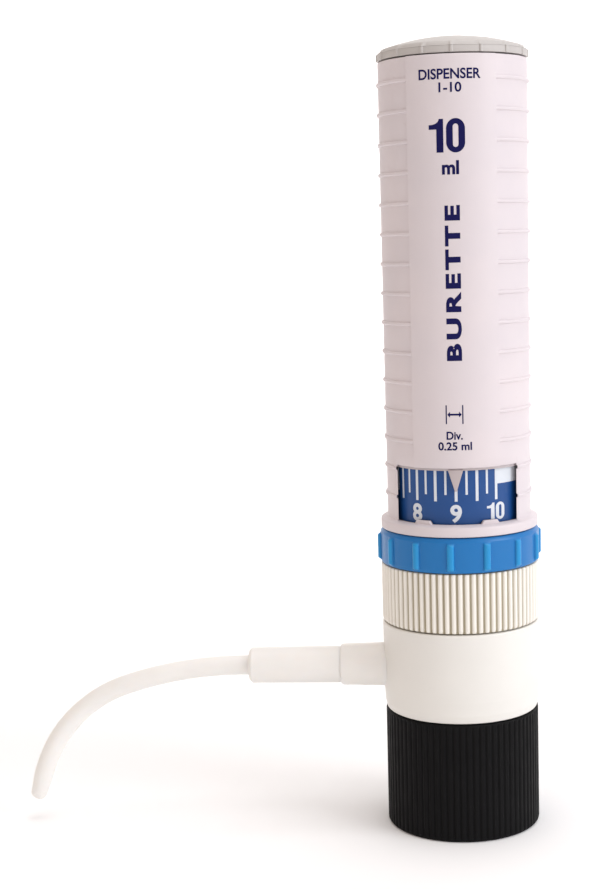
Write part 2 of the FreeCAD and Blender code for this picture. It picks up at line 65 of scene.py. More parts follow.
RING_BOTTOM, RING_TOP = low_z("bottle_ring"), high_z("bottle_ring")
BODY_BOTTOM, BODY_TOP = low_z("base_body"), high_z("base_body")
LOCK_BOTTOM, LOCK_TOP = low_z("lock_ring"), high_z("lock_ring")
SELECTOR_BOTTOM, SELECTOR_TOP = low_z("selector_ring"), high_z("selector_ring")
HOUSING_BOTTOM, HOUSING_TOP = low_z("housing"), high_z("housing")
CAP_GAP = 0.3               # between the housing's top edge and the cap's rim
CAP_BOTTOM, CAP_TOP = HOUSING_TOP + CAP_GAP, high_z("top_cap") - 0.01
DRUM_BOTTOM, DRUM_TOP = SELECTOR_TOP - 4.3, high_z("scale_drum")
OUTLET_Z = (low_z("jet_sleeve") + high_z("jet_sleeve")) / 2
SLEEVE_END = -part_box("jet_sleeve")[0].x / MM

# ---- sizes in millimetres ---------------------------------------------------------------------
RING_R = radius_of("bottle_ring")
BODY_R = radius_of("base_body")
LOCK_R = radius_of("lock_ring")
SELECTOR_R = 22.6
SELECTOR_RIB_RISE = 0.9
BEARING_R = 15.95           # bore of the lock ring and of the selector, on their collar
FLANGE_R = radius_of("housing")
HOUSING_R = 20.33
PANEL_R = 20.83
HOUSING_BORE_R = 18.9
DRUM_R = radius_of("scale_drum")
DRUM_SEAT_R = 18.55
DRUM_BORE_R = 17.1
CAP_R = 20.55
FLUTES = 74

# ---- housing face: azimuths in degrees from the front, positive towards +X ---------------------
PANEL_LEFT, PANEL_RIGHT = -36.5, 33.5
PANEL_EDGE = 0.6            # width of the ramp at the panel's sides, in degrees
WINDOW_LEFT_X, WINDOW_RIGHT_X = -17.1, 16.1    # parallel side faces, along Y
WINDOW_BOTTOM, WINDOW_TOP = 91.0, 106.8
LIP = 0.8                   # height of the inner lip under the window's top edge
# the lip's radius also sets how much of the housing's painted shade it takes
LIP_R = 19.4
POINTER_AZIMUTH = -2.3
POINTER_TIP_Z = 100.3
RIB_PITCH = 8.0
RIB_FIRST_Z = 97.8
RIB_COUNT = 15
RIB_HALF_HEIGHT = 0.55
RIB_RISE = 0.5
FLANGE_ROUND = 0.3          # rounding radius of the flange's lower edge
FLANGE_HEIGHT = 2.35
TOP_ROUND = 0.35            # rounding radius of the housing's top edge
WINDOW_ROUND = 0.3          # width of the softened edge round the window
WINDOW_SOFT_DEPTH = 0.22
DEG_PER_ML = 36.0
SET_VOLUME = 9.0


def at(radius, azimuth, z):
    """Point in metres from a radius and height in millimetres and an azimuth in degrees."""
    turn = math.radians(azimuth)
    return Vector((radius * math.sin(turn), -radius * math.cos(turn), z)) * MM


def spread(start, end, step):
    """Even values from start up to, but not including, end, at most a step apart."""
    count = max(1, math.ceil((end - start) / step - 1e-6))
    return [start + (end - start) * i / count for i in range(count)]


def smooth_step(x):
    x = min(1.0, max(0.0, x))
    return x * x * (3 - 2 * x)


# ---- mesh helpers -----------------------------------------------------------------------------
def make_object(name, bm, body, material, sharp=40.0):
    """Finished object from a bmesh: outward normals, smooth faces with sharp edges kept."""
    bmesh.ops.remove_doubles(bm, verts=bm.verts, dist=1e-8)
    bmesh.ops.recalc_face_normals(bm, faces=bm.faces)
    mesh = bpy.data.meshes.new(name)
    bm.to_mesh(mesh)
    bm.free()
    mesh.shade_smooth()
    mesh.set_sharp_from_angle(angle=math.radians(sharp))
    mesh.materials.append(material)
    piece = bpy.data.objects.new(name, mesh)
    bpy.context.scene.collection.objects.link(piece)
    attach(piece, body)
    return piece


def rounded(corners, steps=5):
    """Outline of (radius, z) corners, where a third number is the corner's rounding radius."""
    outline = []
    count = len(corners)
    for index, corner in enumerate(corners):
        here = Vector(corner[:2])
        if len(corner) < 3:
            outline.append(tuple(here))
            continue
        before = (Vector(corners[index - 1][:2]) - here).normalized()
        after = (Vector(corners[(index + 1) % count][:2]) - here).normalized()
        half = before.angle(after) / 2
        reach = corner[2] / math.tan(half)
        centre = here + (before + after).normalized() * corner[2] / math.sin(half)
        start = here + before * reach - centre
        end = here + after * reach - centre
        turn = start.angle_signed(end)
        for step in range(steps + 1):
            arm = start.copy()
            arm.rotate(Matrix.Rotation(-turn * step / steps, 2))
            outline.append(tuple(centre + arm))
    return outline


def even_azimuths(count):
    return [360.0 * i / count for i in range(count)]


def spun(outline, azimuths, change=None):
    """Closed outline turned about the main axis; change(azimuth, radius, z) gives a new radius."""
    bm = bmesh.new()
    rings = []
    for azimuth in azimuths:
        column = []
        for radius, z in outline:
            r = change(azimuth, radius, z) if change else radius
            column.append(bm.verts.new(at(r, azimuth, z)))
        rings.append(column)
    count = len(outline)
    for i, column in enumerate(rings):
        following = rings[(i + 1) % len(rings)]
        for j in range(count):
            k = (j + 1) % count
            if outline[j][0] < 1e-6 and outline[k][0] < 1e-6:
                continue
            corners = [column[j], following[j], following[k], column[k]]
            if outline[j][0] < 1e-6:
                corners = [column[j], following[k], column[k]]
            if outline[k][0] < 1e-6:
                corners = [column[j], following[j], column[k]]
            bm.faces.new(corners)
    return bm


def close_bar(bm, rows):
    """Skins a row of four-cornered sections and closes both ends."""
    for one, two in zip(rows, rows[1:]):
        for j in range(4):
            k = (j + 1) % 4
            bm.faces.new([one[j], two[j], two[k], one[k]])
    bm.faces.new(rows[0])
    bm.faces.new(list(reversed(rows[-1])))


def curved_slab(bm, inner, outer, low, high, start, end):
    """Closed piece of a ring between two azimuths, added to a bmesh."""
    section = ((inner, low), (outer, low), (outer, high), (inner, high))
    azimuths = spread(start, end, 2.0) + [end]
    close_bar(bm, [[bm.verts.new(at(r, azimuth, z)) for r, z in section] for azimuth in azimuths])


# ---- materials --------------------------------------------------------------------------------
def plastic(name, colour, roughness=0.38, tone=0.05, warm=(0.0, 0.0, 0.0), grain=0.06,
            grain_scale=2600.0, subsurface=0.0, gloss_level=0.5, marks=0.0,
            mark_colour=(0.3, 0.2, 0.12), painted_radial_shade=None):
    """Moulded plastic: cloudy tone, fine surface grain and uneven gloss. marks is the strength of
    faint scuffs. The last argument is (floor radius, crest radius, colour): from the crest down to
    the floor the surface turns to that colour, a painted shade in a fluted ring's grooves, at the
    feet of ribs and on a shell's inside, which leaves the crests lighter."""
    material = bpy.data.materials.new(name)
    material.use_nodes = True
    tree = material.node_tree
    nodes, links = tree.nodes, tree.links
    shader = nodes["Principled BSDF"]
    shader.inputs["Specular IOR Level"].default_value = gloss_level
    shader.inputs["Subsurface Weight"].default_value = subsurface
    shader.inputs["Subsurface Radius"].default_value = (0.004, 0.0032, 0.0025)
    shader.inputs["Subsurface Scale"].default_value = 1.0
    place = nodes.new("ShaderNodeTexCoord")

    def noise(scale, detail, rough):
        node = nodes.new("ShaderNodeTexNoise")
        node.inputs["Scale"].default_value = scale
        node.inputs["Detail"].default_value = detail
        node.inputs["Roughness"].default_value = rough
        links.new(place.outputs["Object"], node.inputs["Vector"])
        return node

    cloud = noise(45.0, 4.0, 0.55)
    ramp = nodes.new("ShaderNodeValToRGB")
    dark, light = ramp.color_ramp.elements
    dark.position, light.position = 0.3, 0.7
    dark.color = [c * (1 - tone) for c in colour] + [1]
    light.color = [min(1, c * (1 + tone * 0.5) + w) for c, w in zip(colour, warm)] + [1]
    links.new(cloud.outputs["Fac"], ramp.inputs["Fac"])
    last = ramp.outputs["Color"]
    if marks:
        scuff = noise(150.0, 8.0, 0.75)
        mask = nodes.new("ShaderNodeMapRange")
        mask.inputs["From Min"].default_value = 0.66
        mask.inputs["From Max"].default_value = 0.78
        mask.inputs["To Max"].default_value = marks
        links.new(scuff.outputs["Fac"], mask.inputs["Value"])
        mix = nodes.new("ShaderNodeMix")
        mix.data_type = "RGBA"
        links.new(mask.outputs["Result"], mix.inputs["Factor"])
        links.new(last, mix.inputs["A"])
        mix.inputs["B"].default_value = (*mark_colour, 1)
        last = mix.outputs["Result"]
    # painted shade: the colour darkens nearer the axis, so grooves, rib feet and a shell's inside
    # look shaded
    if painted_radial_shade:
        floor_r, crest_r, painted_shade_colour = painted_radial_shade
        flatten = nodes.new("ShaderNodeVectorMath")
        flatten.operation = "MULTIPLY"
        flatten.inputs[1].default_value = (1, 1, 0)
        links.new(place.outputs["Object"], flatten.inputs[0])
        length = nodes.new("ShaderNodeVectorMath")
        length.operation = "LENGTH"
        links.new(flatten.outputs["Vector"], length.inputs[0])
        depth = nodes.new("ShaderNodeMapRange")
        depth.interpolation_type = "SMOOTHSTEP"
        depth.inputs["From Min"].default_value = floor_r * MM
        depth.inputs["From Max"].default_value = crest_r * MM
        depth.inputs["To Min"].default_value = 1.0
        depth.inputs["To Max"].default_value = 0.0
        links.new(length.outputs["Value"], depth.inputs["Value"])
        tint = nodes.new("ShaderNodeMix")
        tint.data_type = "RGBA"
        links.new(depth.outputs["Result"], tint.inputs["Factor"])
        links.new(last, tint.inputs["A"])
        tint.inputs["B"].default_value = (*painted_shade_colour, 1)
        last = tint.outputs["Result"]
    links.new(last, shader.inputs["Base Color"])
    gloss = noise(220.0, 5.0, 0.6)
    spread_gloss = nodes.new("ShaderNodeMapRange")
    spread_gloss.inputs["To Min"].default_value = roughness * 0.85
    spread_gloss.inputs["To Max"].default_value = roughness * 1.2
    links.new(gloss.outputs["Fac"], spread_gloss.inputs["Value"])
    links.new(spread_gloss.outputs["Result"], shader.inputs["Roughness"])
    fine = noise(grain_scale, 3.0, 0.6)
    bump = nodes.new("ShaderNodeBump")
    bump.inputs["Strength"].default_value = grain
    bump.inputs["Distance"].default_value = 0.0002
    links.new(fine.outputs["Fac"], bump.inputs["Height"])
    links.new(bump.outputs["Normal"], shader.inputs["Normal"])
    return material


def metal(name, colour, roughness):
    """Turned or rolled metal with a fine grain."""
    material = plastic(name, colour, roughness=roughness, tone=0.08, grain=0.12, grain_scale=4000.0)
    material.node_tree.nodes["Principled BSDF"].inputs["Metallic"].default_value = 1.0
    return material


def glass(name):
    material = plastic(name, (0.93, 0.97, 0.97), roughness=0.04, tone=0.01, grain=0.0)
    shader = material.node_tree.nodes["Principled BSDF"]
    shader.inputs["Transmission Weight"].default_value = 1.0
    return material


# painted shade: the shell's inside, the window's side walls and its lip turn near-black brown below
# a radius of 19.7 mm
HOUSING_WHITE = plastic("housing_white", (0.665, 0.61, 0.635), roughness=0.5, tone=0.035,
                        warm=(0.01, 0.0, -0.01), marks=0.2, mark_colour=(0.42, 0.30, 0.22),
                        painted_radial_shade=(18.9, 19.7, (0.13, 0.10, 0.09)))
CAP_WHITE = plastic("cap_white", (0.50, 0.475, 0.455), roughness=0.5, tone=0.04, marks=0.15)
BODY_WHITE = plastic("body_white", (0.77, 0.755, 0.715), roughness=0.42, tone=0.03, marks=0.08,
                     mark_colour=(0.5, 0.42, 0.3))
# painted shade in the flutes: the colour turns a dark brownish tone towards the groove floors
LOCK_WHITE = plastic("lock_ring_white", (0.84, 0.81, 0.745), roughness=0.45, tone=0.04,
                     painted_radial_shade=(21.7, 22.3, (0.42, 0.37, 0.26)))
# painted shade between the ribs and painted highlight on their crests: the colour lightens from the
# ring's face out to the rib tops
SELECTOR_BLUE = plastic("selector_blue", (0.009, 0.265, 0.59), roughness=0.34, tone=0.08,
                        gloss_level=0.4, painted_radial_shade=(22.55, 23.3, (0.003, 0.155, 0.44)))
# painted shade: the scale drum is the selector's blue, darkened to look shaded inside the housing
DRUM_BLUE_PAINTED_SHADE = plastic("drum_blue", (0.006, 0.064, 0.245), roughness=0.35, tone=0.15, gloss_level=0.42)
RING_BLACK = plastic("ring_black", (0.005, 0.005, 0.0055), roughness=0.55, tone=0.2, grain=0.12,
                     gloss_level=0.1)
JET_WHITE = plastic("jet_white", (0.86, 0.84, 0.805), roughness=0.4, tone=0.05, subsurface=0.25)
# painted shade: the housing's plastic darkened, for the pointer shaded in the window's recess
POINTER_PAINTED_SHADE = plastic("pointer_painted_shade", (0.49, 0.425, 0.43), roughness=0.5, tone=0.04)
# painted shade: a near-black colour for the spigot, standing for the shadow in the gap under the
# cap's rim
GAP_PAINTED_SHADE = plastic("cap_spigot_painted_shade", (0.06, 0.05, 0.045), roughness=0.6)
INNER_WHITE = plastic("inner_white", (0.72, 0.72, 0.7), roughness=0.4)
PTFE = plastic("fluoropolymer", (0.78, 0.78, 0.76), roughness=0.5, subsurface=0.1)
RUBBER = plastic("black_rubber", (0.02, 0.02, 0.02), roughness=0.6, grain=0.15)
NAVY_INK = plastic("navy_ink", (0.008, 0.008, 0.075), roughness=0.6, tone=0.15, gloss_level=0.1)
WHITE_INK = plastic("white_ink", (0.68, 0.72, 0.77), roughness=0.5, tone=0.05, gloss_level=0.2)
STEEL = metal("spring_steel", (0.55, 0.55, 0.56), 0.3)
BRASS = metal("turned_brass", (0.6, 0.42, 0.16), 0.3)
GLASS = glass("barrel_glass")

CAD_MATERIALS = {
    "valve_plastic": INNER_WHITE, "guard_plastic": INNER_WHITE, "fluoroplastic": PTFE,
    "rod_plastic": INNER_WHITE, "elastomer": RUBBER, "barrel_glass": GLASS, "ball_glass": GLASS,
    "spring_steel": STEEL, "brass_nut": BRASS, "jet_plastic": JET_WHITE,
    "body_plastic": BODY_WHITE, "housing_plastic": HOUSING_WHITE, "selector_blue": SELECTOR_BLUE,
    "drum_blue": DRUM_BLUE_PAINTED_SHADE, "black_plastic": RING_BLACK,
}


def dress_cad_nodes():
    for part in frame["record"]["subparts"]:
        mesh = frame["nodes"][part["node"]].data
        mesh.materials.clear()
        mesh.materials.append(CAD_MATERIALS[part["material_slot"]])


# ---- fluted rings -----------------------------------------------------------------------------
# Places of a tooth's columns, as parts of the tooth pitch from its crest
TOOTH_COLUMNS = (0.0, 0.12, 0.22, 0.3, 0.38, 0.45, 0.55, 0.62, 0.7, 0.78, 0.88)
FLUTE_FLOOR = 0.92          # share of the half tooth where the flute's flat floor starts


def flute_azimuths():
    return [(tooth + part) * 360.0 / FLUTES for tooth in range(FLUTES) for part in TOOTH_COLUMNS]


def flute_dip(azimuth, depth, crest):
    """Dip below the crest at an azimuth; crest is the crest's share of the half tooth."""
    part = abs((azimuth * FLUTES / 360.0 + 0.5) % 1.0 - 0.5) * 2
    return depth * smooth_step((part - crest) / (FLUTE_FLOOR - crest))


def bottle_ring():
    """Fluted union ring, drawn in a little towards its top, with its thread."""
    def change(azimuth, r, z):
        if r < RING_R - 1.2:
            return r
        fade = smooth_step((z - RING_BOTTOM - 0.2) / 1.0) * smooth_step((RING_TOP - 0.2 - z) / 0.6)
        draft = 0.12 * (z / RING_TOP)
        return r - flute_dip(azimuth, 0.35, 0.45) * fade - draft

    thread_r, relief_r, web_bore_r = 16.2, 16.4, 13.13
    thread_top, web_low, web_top = 15.0, 22.3, 25.3
    side = [(RING_R, z) for z in spread(RING_BOTTOM + 1.3, RING_TOP - 1.0, 3.0)]
    outline = rounded([
        (thread_r, RING_BOTTOM, 0.4), (RING_R, RING_BOTTOM, 1.1), *side,
        (RING_R, RING_TOP - 1.0), (RING_R, RING_TOP, 0.5), (19.8, RING_TOP, 0.3), (19.0, web_top),
        (web_bore_r, web_top), (web_bore_r, web_low), (relief_r, web_low), (relief_r, thread_top),
        (thread_r, thread_top),
    ])
    piece = make_object("bottle_ring_shell", spun(outline, flute_azimuths(), change),
                        "bottle_ring", RING_BLACK)
    thread = make_object("bottle_thread", bottle_thread(), "bottle_ring", RING_BLACK)
    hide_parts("bottle_ring")
    return piece, thread


def bottle_thread():
    """Helical ridge inside the bottle ring."""
    pitch, turns, per_turn = 4.0, 3.1, 96
    crest, root = 15.2, 16.25
    run_out = 14.0              # steps over which the ridge swells and fades
    first_middle = 1.7
    foot, flat = 1.5, 0.8       # half widths of the ridge at its root and crest
    bm = bmesh.new()
    rows = []
    steps = int(turns * per_turn)
    for step in range(steps + 1):
        turn = step / per_turn
        middle = first_middle + turn * pitch
        swell = smooth_step(min(step, steps - step) / run_out)
        top = root - (root - crest) * swell
        section = ((root, middle - foot), (top, middle - flat), (top, middle + flat),
                   (root, middle + foot))
        rows.append([bm.verts.new(at(r, -360.0 * turn, z)) for r, z in section])
    close_bar(bm, rows)
    return bm


def lock_ring():
    """Finely fluted ring on a hub, hollow between them."""
    def change(azimuth, r, z):
        if r < LOCK_R - 1.0:
            return r
        fade = smooth_step((z - LOCK_BOTTOM + 0.2) / 0.7) * smooth_step((LOCK_TOP + 0.6 - z) / 0.6)
        return r - flute_dip(azimuth, 0.75, 0.3) * fade

    middle = 70.0
    side = [(LOCK_R, z) for z in (LOCK_BOTTOM + 1.0, LOCK_BOTTOM + 1.3, LOCK_BOTTOM + 2.0, middle)]
    hub_r, skirt_bore_r = 17.8, 19.8
    web_low = LOCK_TOP - 3
    outline = rounded([
        (BEARING_R, LOCK_BOTTOM), (hub_r, LOCK_BOTTOM), (hub_r, web_low), (skirt_bore_r, web_low),
        (skirt_bore_r, LOCK_BOTTOM, 0.2), (LOCK_R, LOCK_BOTTOM, 0.9), *side,
        (LOCK_R, LOCK_TOP - 0.7), (LOCK_R, LOCK_TOP, 0.35), (BEARING_R, LOCK_TOP),
    ])
    piece = make_object("lock_ring_shell", spun(outline, flute_azimuths(), change),
                        "lock_ring", LOCK_WHITE)
    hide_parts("lock_ring")
    return piece


# ---- selector ring ----------------------------------------------------------------------------
SELECTOR_RIBS = 14
SELECTOR_RIB_AZIMUTH = -6.4
SELECTOR_RIB_HALF_WIDTH = 1.05


def rib_azimuths(count, first, half_degrees, fine=8, coarse=4.0):
    """Azimuths that follow ribs closely and the stretches between them coarsely."""
    pitch = 360.0 / count
    azimuths = []
    for index in range(count):
        middle = first + index * pitch
        azimuths += spread(middle - half_degrees, middle + half_degrees, 2 * half_degrees / fine)
        azimuths += spread(middle + half_degrees, middle + pitch - half_degrees, coarse)
    return azimuths


def rib_across(azimuth, count, first, radius, half_width):
    """Distance from the nearest rib's middle, as a part of the rib's half width."""
    pitch = 360.0 / count
    offset = ((azimuth - first + pitch / 2) % pitch) - pitch / 2
    return abs(math.radians(offset) * radius) / half_width


def selector_ring():
    """Blue ring with rounded ribs, and a seat for the drum in its top."""
    rib_low, rib_high = SELECTOR_BOTTOM + 0.55, SELECTOR_TOP - 1.35

    def change(azimuth, r, z):
        if r < SELECTOR_R - 1.6:
            return r
        across = rib_across(azimuth, SELECTOR_RIBS, SELECTOR_RIB_AZIMUTH, SELECTOR_R,
                            SELECTOR_RIB_HALF_WIDTH)
        if across >= 1:
            return r
        dome = (1 - across ** 2.2) ** 0.55
        ends = smooth_step((z - rib_low + 0.1) / 0.7) * smooth_step((rib_high + 0.2 - z) / 0.9)
        return r + SELECTOR_RIB_RISE * dome * ends

    middle_low, middle_high = SELECTOR_BOTTOM + 0.35, SELECTOR_TOP - 1.05
    side = [(SELECTOR_R, z) for z in spread(middle_low + 0.2, middle_high - 0.1, 0.3)]
    outline = rounded([
        (BEARING_R, SELECTOR_BOTTOM), (SELECTOR_R - 0.35, SELECTOR_BOTTOM, 0.2),
        (SELECTOR_R, middle_low), *side, (SELECTOR_R, middle_high - 0.1), (SELECTOR_R, middle_high),
        (SELECTOR_R - 0.75, SELECTOR_TOP, 0.35), (DRUM_SEAT_R, SELECTOR_TOP),
        (DRUM_SEAT_R, DRUM_BOTTOM), (BEARING_R, DRUM_BOTTOM),
    ])
    half = math.degrees(SELECTOR_RIB_HALF_WIDTH / SELECTOR_R) * 1.02
    azimuths = rib_azimuths(SELECTOR_RIBS, SELECTOR_RIB_AZIMUTH, half, fine=14, coarse=2.5)
    piece = make_object("selector_ring_shell", spun(outline, azimuths, change),
                        "selector", SELECTOR_BLUE, sharp=50)
    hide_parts("selector_ring")
    return piece


# ---- base body --------------------------------------------------------------------------------
def base_body():
    """Smooth hollow body whose foot draws in a little; the outlet nozzle passes through its wall."""
    foot_bore_r, top_bore_r, wall_bore_r = 13.1, 12.6, 20.3
    floor_top, roof_low = BODY_BOTTOM + 2.0, BODY_TOP - 2.5
    outline = rounded([
        (foot_bore_r, BODY_BOTTOM), (21.75, BODY_BOTTOM, 0.5), (22.2, BODY_BOTTOM + 2.2, 3.0),
        (BODY_R - 0.1, BODY_BOTTOM + 6.0, 8.0), (BODY_R, BODY_TOP - 2.0), (BODY_R, BODY_TOP, 0.55),
        (top_bore_r, BODY_TOP), (top_bore_r, roof_low), (wall_bore_r, roof_low),
        (wall_bore_r, floor_top), (foot_bore_r, floor_top),
    ], steps=8)
    piece = make_object("base_body_shell", spun(outline, even_azimuths(256)),
                        "base", BODY_WHITE)
    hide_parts("base_body")
    return piece


# ---- outlet -----------------------------------------------------------------------------------
def along_outlet(point):
    """Turns a point made along +Z so that it lies along the outlet, towards -X."""
    return Vector((-point.z, point.y, point.x + OUTLET_Z * MM))


def outlet_pieces():
    stub_end, spigot_end, spigot_r, bore_r = 35.0, 41.0, 3.0, 1.3
    sleeve_start, sleeve_end, sleeve_bore_r = stub_end + 0.02, SLEEVE_END - 0.05, 2.8
    nozzle = spun(rounded([
        (bore_r, 21.5), (6.75, 21.5), (6.3, 22.9, 0.8), (6.05, 34.4), (5.75, stub_end, 0.25),
        (spigot_r, stub_end), (spigot_r, spigot_end), (bore_r, spigot_end),
    ]), even_azimuths(72))
    sleeve = spun(rounded([
        (sleeve_bore_r, sleeve_start), (5.25, sleeve_start, 0.06), (5.4, 35.8, 0.4),
        (5.25, SLEEVE_END - 0.9, 0.25), (4.4, sleeve_end, 0.25), (sleeve_bore_r, sleeve_end),
    ]), even_azimuths(72))
    pieces = []
    for name, bm, node, slot in (("nozzle_stub", nozzle, "outlet_nozzle", "body_plastic"),
                                 ("jet_sleeve_shell", sleeve, "jet_sleeve", "jet_plastic")):
        for vert in bm.verts:
            vert.co = along_outlet(vert.co)
        piece = make_object(name, bm, "base", JET_WHITE, sharp=45)
        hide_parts(node)
        pieces.append(piece)
    return pieces


TUBE_R = 2.84
TUBE_BORE_R = 1.1
TUBE_START = 42.0           # inside the sleeve; distances are from the main axis
TUBE_BEND_START = 64.0
TUBE_BENDS = ((112.0, 18.0), (41.0, 49.0), (62.0, 6.0))    # (bend radius, turn in degrees)
TIP_LENGTH = 6.0
TIP_TAPER = 9.0             # length over which the tube is drawn in


def tube_point(distance):
    """(x, z, angle below level in degrees) of the tube's centre line at a distance along it."""
    x, z, angle = -min(distance, TUBE_BEND_START), OUTLET_Z, 0.0
    left = max(0.0, distance - TUBE_BEND_START)
    for radius, turn in TUBE_BENDS:
        arc = radius * math.radians(turn)
        swept = min(left, arc) / radius
        start = math.radians(angle)
        x -= radius * (math.sin(start + swept) - math.sin(start))
        z -= radius * (math.cos(start) - math.cos(start + swept))
        angle += math.degrees(swept)
        left -= min(left, arc)
    x -= left * math.cos(math.radians(angle))
    z -= left * math.sin(math.radians(angle))
    return x, z, angle


def jet_tube():
    """Formed tube with a bore, drawn in and chamfered at its tip."""
    length = TUBE_BEND_START + sum(r * math.radians(t) for r, t in TUBE_BENDS) + TIP_LENGTH
    taper_start = length - TIP_TAPER
    wall = [(TUBE_R, d) for d in spread(TUBE_START, taper_start, 1.2)]
    wall += [(TUBE_R - 0.5 * smooth_step((d - taper_start) / TIP_TAPER), d)
             for d in spread(taper_start, length - 1.0, 0.6)]
    tip = [(2.3, length - 1.0), (1.65, length - 0.1), (1.5, length), (1.15, length),
           (1.05, length - 0.3)]
    bore = [(TUBE_BORE_R, d) for d in spread(TUBE_START, length - 1.2, 3.0)]
    outline = wall + tip + bore[::-1]
    bm = bmesh.new()
    columns = 40
    rows = []
    for radius, distance in outline:
        x, z, angle = tube_point(distance)
        turn = math.radians(angle)
        up = Vector((-math.sin(turn), 0, math.cos(turn)))
        side = Vector((0, 1, 0))
        centre = Vector((x, 0, z))
        rows.append([bm.verts.new((centre + (up * math.cos(a) + side * math.sin(a)) * radius) * MM)
                     for a in (2 * math.pi * i / columns for i in range(columns))])
    for one, two in zip(rows, rows[1:] + rows[:1]):
        for i in range(columns):
            k = (i + 1) % columns
            bm.faces.new([one[i], one[k], two[k], two[i]])
    piece = make_object("jet_tube_shell", bm, "base", JET_WHITE, sharp=50)
    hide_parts("jet_tube")
    return piece


# ---- housing ----------------------------------------------------------------------------------
def housing_heights():
    flange = [0.0, 0.06, 0.16, FLANGE_ROUND, 1.2, FLANGE_HEIGHT, 2.45, 2.55, 2.62, 2.68]
    heights = [HOUSING_BOTTOM + h for h in flange]
    heights += [WINDOW_BOTTOM - 0.25, WINDOW_BOTTOM, WINDOW_BOTTOM + 0.3,
                WINDOW_BOTTOM + 0.7, WINDOW_BOTTOM + 0.95, WINDOW_BOTTOM + 1.2, WINDOW_BOTTOM + 2.4]
    for edge in (WINDOW_TOP - LIP, WINDOW_TOP):
        heights += [edge, edge + 0.12, edge + 0.3]
    for index in range(RIB_COUNT):
        middle = RIB_FIRST_Z + index * RIB_PITCH
        heights += [middle + d for d in (-RIB_HALF_HEIGHT, -0.42, -0.28, -0.1,
                                         0.1, 0.28, 0.42, RIB_HALF_HEIGHT)]
        heights.append(middle + RIB_PITCH / 2)
    heights += [HOUSING_TOP - h for h in (1.4, 0.5, TOP_ROUND, 0.2, 0.08, 0.0)]
    return tidy_values(heights, 0.035)


def tidy_values(values, least):
    """Sorted values with none closer together than a least step."""
    kept = []
    for value in sorted(values):
        if not kept or value - kept[-1] > least:
            kept.append(value)
    return kept


def housing_azimuths():
    azimuths = spread(-180.0, 180.0, 2.5)
    for edge in (PANEL_LEFT, PANEL_RIGHT):
        azimuths += [edge + d for d in (-0.6, -0.3, 0.0, 0.3, 0.6, 1.0)]
    fine = math.degrees(0.12 / HOUSING_R)
    for edge, inward in ((WINDOW_LEFT, 1), (WINDOW_RIGHT, -1)):
        azimuths += [edge, edge - inward * fine, edge - inward * 3 * fine]
    kept = tidy_values(azimuths, 0.1)
    exact = [WINDOW_LEFT, WINDOW_RIGHT]
    return [next((e for e in exact if abs(e - a) < 0.11), a) for a in kept]


def window_azimuth(x, radius):
    return math.degrees(math.asin(x / radius))


WINDOW_LEFT = window_azimuth(WINDOW_LEFT_X, HOUSING_R)
WINDOW_RIGHT = window_azimuth(WINDOW_RIGHT_X, HOUSING_R)


def inward_azimuth(azimuth, radius):
    """Azimuth on a deeper layer that lies straight behind, along Y, at the window's sides."""
    stations = ((-180.0, -180.0), (WINDOW_LEFT, window_azimuth(WINDOW_LEFT_X, radius)), (0.0, 0.0),
                (WINDOW_RIGHT, window_azimuth(WINDOW_RIGHT_X, radius)), (180.0, 180.0))
    for (a0, b0), (a1, b1) in zip(stations, stations[1:]):
        if azimuth <= a1:
            return b0 + (b1 - b0) * (azimuth - a0) / (a1 - a0)
    return azimuth


def flange_radius(z):
    """Outer radius near the housing's foot: a round-edged flange with a sloping shoulder."""
    height = z - HOUSING_BOTTOM
    if height < FLANGE_ROUND:
        rise = math.sqrt(max(0.0, FLANGE_ROUND ** 2 - (FLANGE_ROUND - height) ** 2))
        return FLANGE_R - FLANGE_ROUND + rise
    if height < FLANGE_HEIGHT:
        return FLANGE_R
    shoulder = [(FLANGE_HEIGHT, FLANGE_R), (2.55, FLANGE_R - 0.08), (2.68, FLANGE_R - 0.25),
                (WINDOW_BOTTOM - HOUSING_BOTTOM, PANEL_R - 0.25),
                (WINDOW_BOTTOM - HOUSING_BOTTOM + 0.3, HOUSING_R)]
    for (h0, r0), (h1, r1) in zip(shoulder, shoulder[1:]):
        if height < h1:
            return r0 + (r1 - r0) * (height - h0) / (h1 - h0)
    return HOUSING_R


def housing_radius(azimuth, z):
    base = flange_radius(z)
    middle = round((z - RIB_FIRST_Z) / RIB_PITCH)
    rib = 0.0
    if 0 <= middle < RIB_COUNT:
        off = abs(z - RIB_FIRST_Z - middle * RIB_PITCH) / RIB_HALF_HEIGHT
        rib = RIB_RISE * math.sqrt(max(0.0, 1 - off ** 2.5))
    from_left = smooth_step((azimuth - PANEL_LEFT) / PANEL_EDGE + 0.5)
    from_right = smooth_step((PANEL_RIGHT - azimuth) / PANEL_EDGE + 0.5)
    panel = (PANEL_R - HOUSING_R) * (from_left * from_right)
    radius = max(base, HOUSING_R + max(rib, panel))
    top = HOUSING_TOP - z
    if top < TOP_ROUND:
        radius -= TOP_ROUND - math.sqrt(max(0.0, TOP_ROUND ** 2 - (TOP_ROUND - top) ** 2))
    near_z = max(WINDOW_BOTTOM - z, z - WINDOW_TOP, 0.0)
    near_a = math.radians(max(WINDOW_LEFT - azimuth, azimuth - WINDOW_RIGHT, 0.0)) * HOUSING_R
    edge = math.hypot(near_z, near_a)
    if edge < WINDOW_ROUND:
        radius -= WINDOW_SOFT_DEPTH * (1 - edge / WINDOW_ROUND) ** 1.6
    return radius


